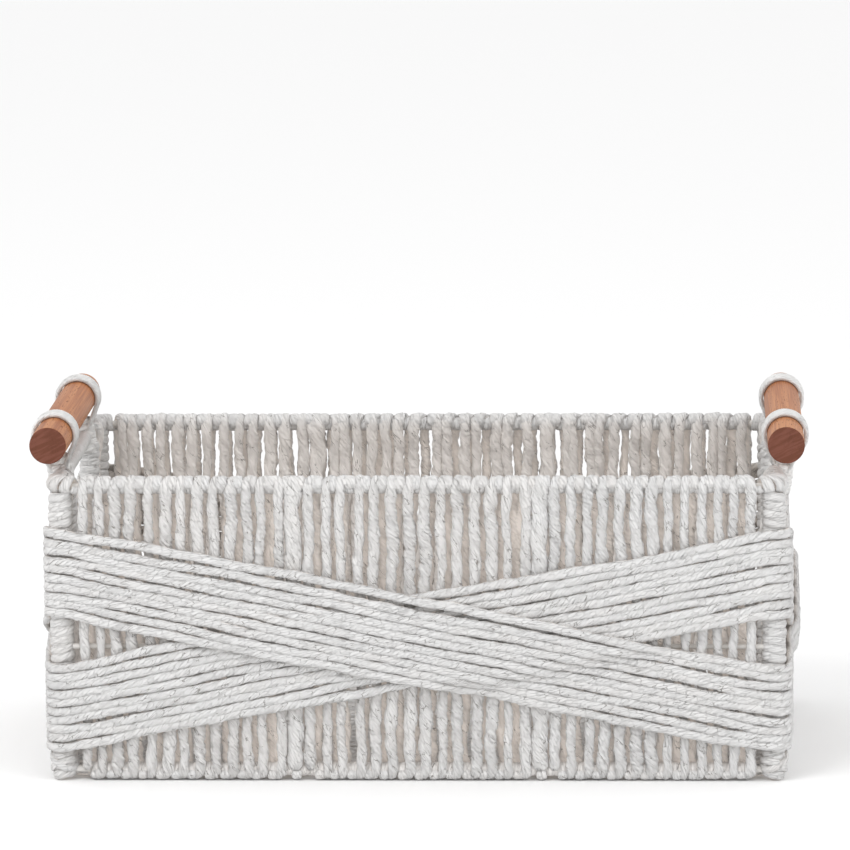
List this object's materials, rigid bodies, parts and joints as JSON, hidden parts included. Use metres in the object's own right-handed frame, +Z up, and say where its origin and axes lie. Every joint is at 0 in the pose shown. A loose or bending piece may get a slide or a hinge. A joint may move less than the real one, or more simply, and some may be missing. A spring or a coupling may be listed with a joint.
{
  "type": "rope storage basket with wooden handles",
  "caption": "Open rectangular basket of white paper rope on a wire frame, with crossed rope bands and a wooden dowel handle over each end.",
  "frame": {"origin": "middle of the underside", "axes": "+X along the basket towards the right handle, -Y to the front, +Z up"},
  "size_m": [0.4256, 0.244, 0.1969],
  "materials": {
    "paper_rope": "matte twisted paper with fine creases",
    "loop_rope": "smooth matte rope",
    "coated_wire": "white coating, satin",
    "dowel_wood": "mid brown, straight grain, satin"
  },
  "bodies": {
    "basket": {"rim_wire": "coated_wire", "base_wire": "coated_wire", "mid_wires": "coated_wire", "front_uprights": "coated_wire", "back_uprights": "coated_wire", "corner_post_front_left": "coated_wire", "corner_post_front_right": "coated_wire", "corner_post_back_left": "coated_wire", "corner_post_back_right": "coated_wire", "left_opening_wire": "coated_wire", "right_opening_wire": "coated_wire", "floor_cross_wires": "coated_wire", "floor_ropes": "paper_rope", "front_outer_ropes": "paper_rope", "front_inner_ropes": "paper_rope", "back_outer_ropes": "paper_rope", "back_inner_ropes": "paper_rope", "left_outer_ropes": "paper_rope", "left_inner_ropes": "paper_rope", "right_outer_ropes": "paper_rope", "right_inner_ropes": "paper_rope", "front_rim_wrap": "paper_rope", "back_rim_wrap": "paper_rope", "left_rim_wrap": "paper_rope", "right_rim_wrap": "paper_rope", "corner_wrap_front_left": "paper_rope", "corner_wrap_front_right": "paper_rope", "corner_wrap_back_left": "paper_rope", "corner_wrap_back_right": "paper_rope", "left_opening_post_wraps": "paper_rope", "left_opening_bar_wrap": "paper_rope", "right_opening_post_wraps": "paper_rope", "right_opening_bar_wrap": "paper_rope", "front_over_band": "paper_rope", "front_under_band": "paper_rope", "back_over_band": "paper_rope", "back_under_band": "paper_rope", "left_over_band": "paper_rope", "left_under_band": "paper_rope", "right_over_band": "paper_rope", "right_under_band": "paper_rope", "left_front_loop": "loop_rope", "left_back_loop": "loop_rope", "right_front_loop": "loop_rope", "right_back_loop": "loop_rope"},
    "left_handle": {"left_dowel": "dowel_wood"},
    "right_handle": {"right_dowel": "dowel_wood"}
  },
  "joints": [
    {"name": "left_handle_turn", "type": "hinge", "parent": "basket", "child": "left_handle", "pos_m": [-0.2, 0, 0.184], "axis": [0, 1, 0], "continuous": true},
    {"name": "right_handle_turn", "type": "hinge", "parent": "basket", "child": "right_handle", "pos_m": [0.2, 0, 0.184], "axis": [0, 1, 0], "continuous": true}
  ]
}
